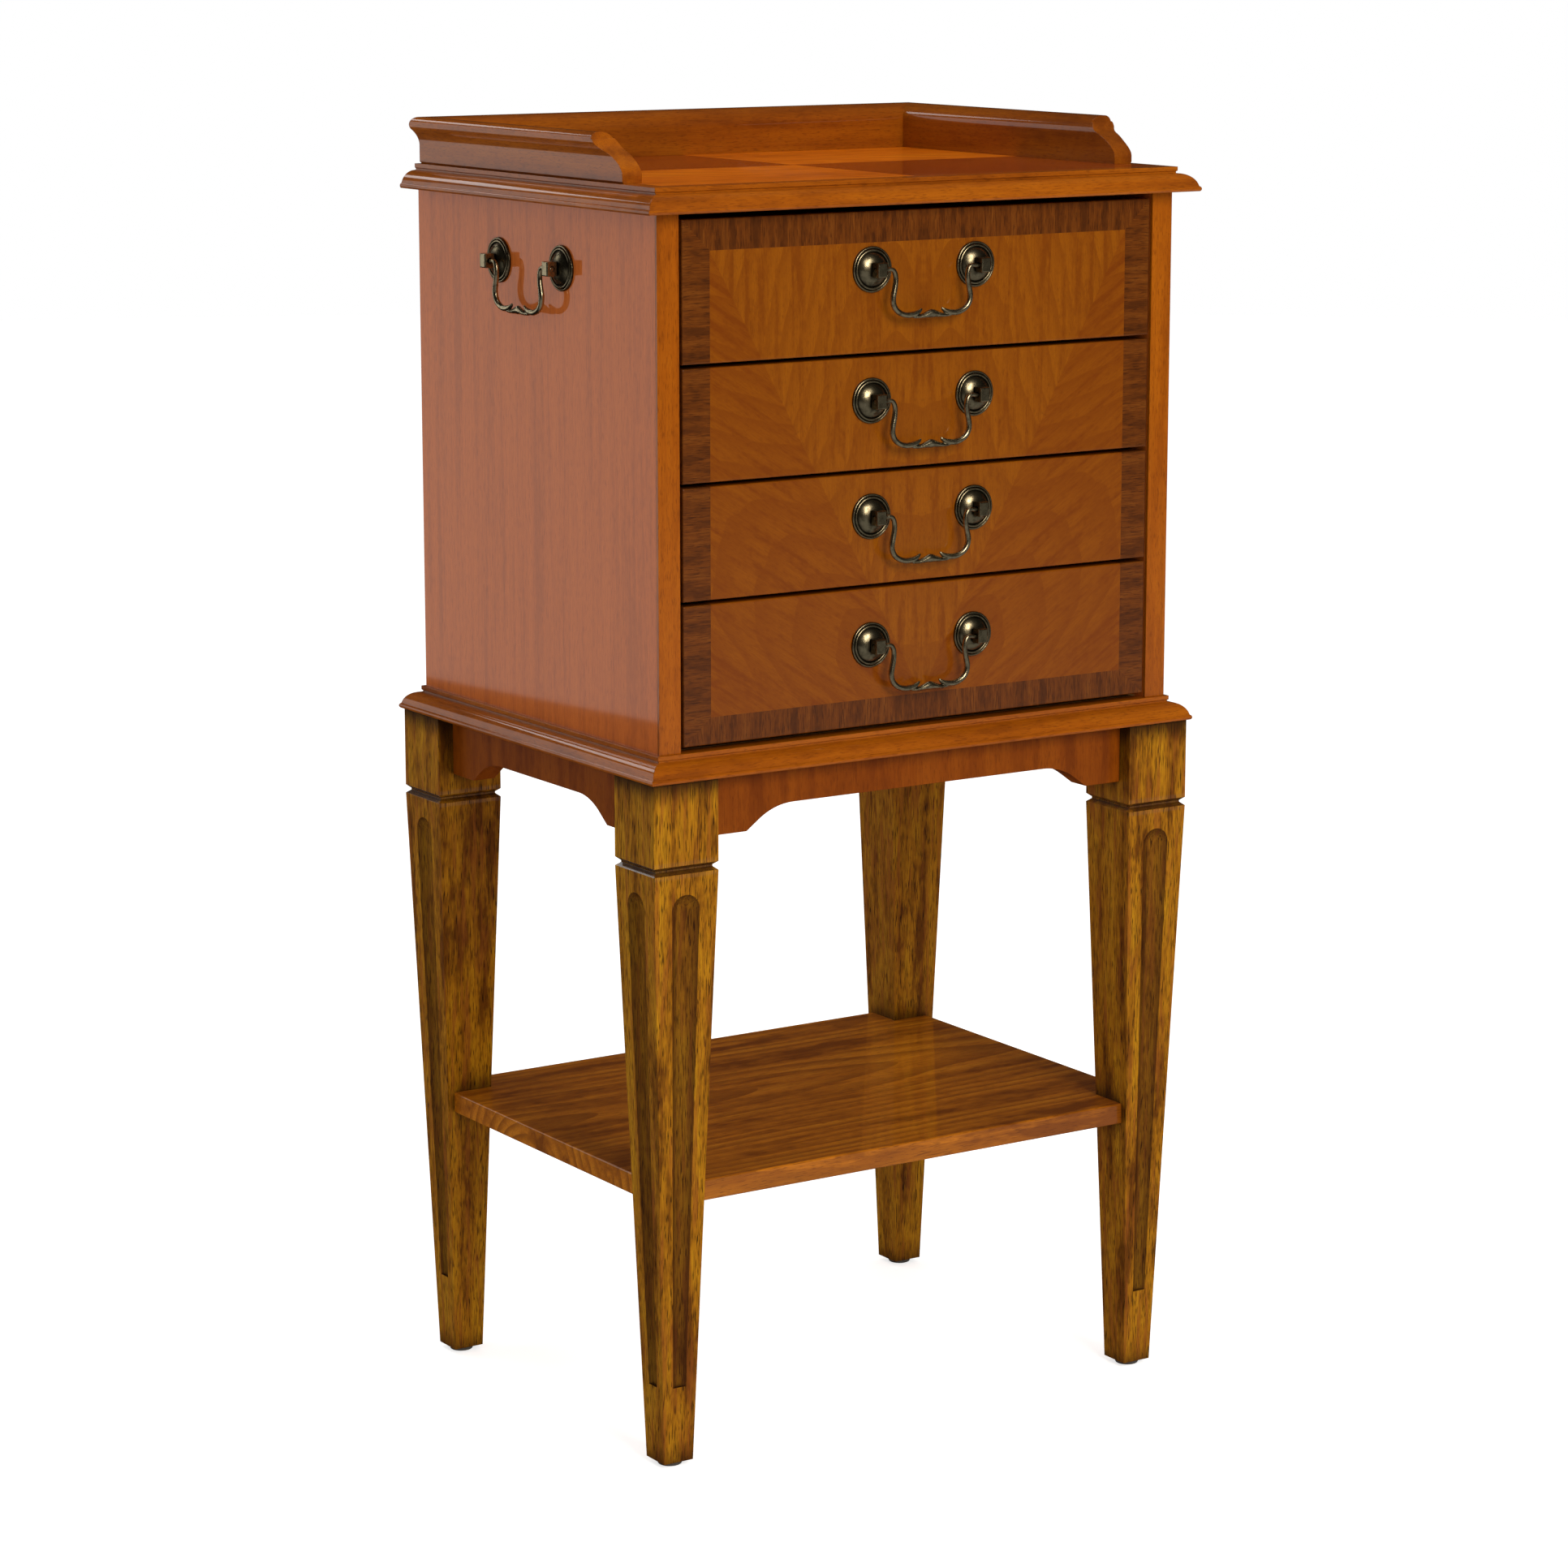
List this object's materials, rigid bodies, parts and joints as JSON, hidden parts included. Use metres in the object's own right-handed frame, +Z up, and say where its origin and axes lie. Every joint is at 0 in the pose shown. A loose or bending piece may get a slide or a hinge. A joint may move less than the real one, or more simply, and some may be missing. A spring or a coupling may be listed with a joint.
{
  "type": "jewelry armoire",
  "caption": "Small veneered chest of shallow drawers on tapered fluted legs, with a low gallery round the top, bail pulls, side carrying handles and an open lower shelf.",
  "frame": {"origin": "floor level, at the middle of the box that holds the whole piece", "axes": "+Z up, drawers open toward -Y, +X to the right of someone facing the drawers"},
  "size_m": [0.4828, 0.376, 0.9686],
  "materials": {
    "moulding_wood": "satin lacquer",
    "gallery_wood": "satin lacquer",
    "top_veneer": "satin lacquer",
    "side_veneer": "satin lacquer",
    "drawer_front_veneer": "satin lacquer",
    "leg_wood": "satin lacquer",
    "apron_wood": "satin lacquer",
    "shelf_wood": "satin lacquer",
    "drawer_box_wood": "sealed",
    "plain_board": "sealed",
    "antique_brass": "antiqued and rubbed",
    "felt": "flock",
    "glide_plastic": "moulded"
  },
  "bodies": {
    "cabinet": {"base_moulding_front": "moulding_wood", "base_moulding_right": "moulding_wood", "base_moulding_back": "moulding_wood", "base_moulding_left": "moulding_wood", "base_panel": "plain_board", "top_moulding_front": "moulding_wood", "top_moulding_right": "moulding_wood", "top_moulding_left": "moulding_wood", "top_panel": "top_veneer", "gallery_back": "gallery_wood", "gallery_left": "gallery_wood", "gallery_right": "gallery_wood", "case_side_left": "side_veneer", "case_side_right": "side_veneer", "case_lipping": "moulding_wood", "case_back": "plain_board", "drawer_runners": "plain_board", "leg_front_left": "leg_wood", "leg_front_right": "leg_wood", "leg_back_right": "leg_wood", "leg_back_left": "leg_wood", "apron_front": "apron_wood", "apron_back": "apron_wood", "apron_left": "apron_wood", "apron_right": "apron_wood", "corner_blocks": "plain_board", "lower_shelf": "shelf_wood", "foot_glides": "glide_plastic", "handle_left_posts": "antique_brass", "handle_right_posts": "antique_brass"},
    "drawer_1": {"drawer_1_front": "drawer_front_veneer", "drawer_1_sides": "drawer_box_wood", "drawer_1_back": "drawer_box_wood", "drawer_1_bottom": "drawer_box_wood", "drawer_1_lining": "felt", "drawer_1_pull_posts": "antique_brass"},
    "pull_1": {"drawer_1_pull_bail": "antique_brass"},
    "drawer_2": {"drawer_2_front": "drawer_front_veneer", "drawer_2_sides": "drawer_box_wood", "drawer_2_back": "drawer_box_wood", "drawer_2_bottom": "drawer_box_wood", "drawer_2_lining": "felt", "drawer_2_pull_posts": "antique_brass"},
    "pull_2": {"drawer_2_pull_bail": "antique_brass"},
    "drawer_3": {"drawer_3_front": "drawer_front_veneer", "drawer_3_sides": "drawer_box_wood", "drawer_3_back": "drawer_box_wood", "drawer_3_bottom": "drawer_box_wood", "drawer_3_lining": "felt", "drawer_3_pull_posts": "antique_brass"},
    "pull_3": {"drawer_3_pull_bail": "antique_brass"},
    "drawer_4": {"drawer_4_front": "drawer_front_veneer", "drawer_4_sides": "drawer_box_wood", "drawer_4_back": "drawer_box_wood", "drawer_4_bottom": "drawer_box_wood", "drawer_4_lining": "felt", "drawer_4_pull_posts": "antique_brass"},
    "pull_4": {"drawer_4_pull_bail": "antique_brass"},
    "handle_left": {"handle_left_bail": "antique_brass"},
    "handle_right": {"handle_right_bail": "antique_brass"}
  },
  "joints": [
    {"name": "drawer_1_slide", "type": "slide", "parent": "cabinet", "child": "drawer_1", "axis": [0, -1, 0], "range_m": [0, 0.24]},
    {"name": "pull_1_swing", "type": "hinge", "parent": "drawer_1", "child": "pull_1", "pos_m": [0, -0.1828, 0.86968], "axis": [-1, 0, 0], "range_deg": [-10, 180]},
    {"name": "drawer_2_slide", "type": "slide", "parent": "cabinet", "child": "drawer_2", "axis": [0, -1, 0], "range_m": [0, 0.24]},
    {"name": "pull_2_swing", "type": "hinge", "parent": "drawer_2", "child": "pull_2", "pos_m": [0, -0.1828, 0.77558], "axis": [-1, 0, 0], "range_deg": [-10, 180]},
    {"name": "drawer_3_slide", "type": "slide", "parent": "cabinet", "child": "drawer_3", "axis": [0, -1, 0], "range_m": [0, 0.24]},
    {"name": "pull_3_swing", "type": "hinge", "parent": "drawer_3", "child": "pull_3", "pos_m": [0, -0.1828, 0.69162], "axis": [-1, 0, 0], "range_deg": [-10, 180]},
    {"name": "drawer_4_slide", "type": "slide", "parent": "cabinet", "child": "drawer_4", "axis": [0, -1, 0], "range_m": [0, 0.24]},
    {"name": "pull_4_swing", "type": "hinge", "parent": "drawer_4", "child": "pull_4", "pos_m": [0, -0.1828, 0.59752], "axis": [-1, 0, 0], "range_deg": [-10, 180]},
    {"name": "handle_left_swing", "type": "hinge", "parent": "cabinet", "child": "handle_left", "pos_m": [-0.2362, 0.0034, 0.8696], "axis": [0, 1, 0], "range_deg": [-10, 180]},
    {"name": "handle_right_swing", "type": "hinge", "parent": "cabinet", "child": "handle_right", "pos_m": [0.2362, 0.0034, 0.8696], "axis": [0, -1, 0], "range_deg": [-10, 180]}
  ]
}
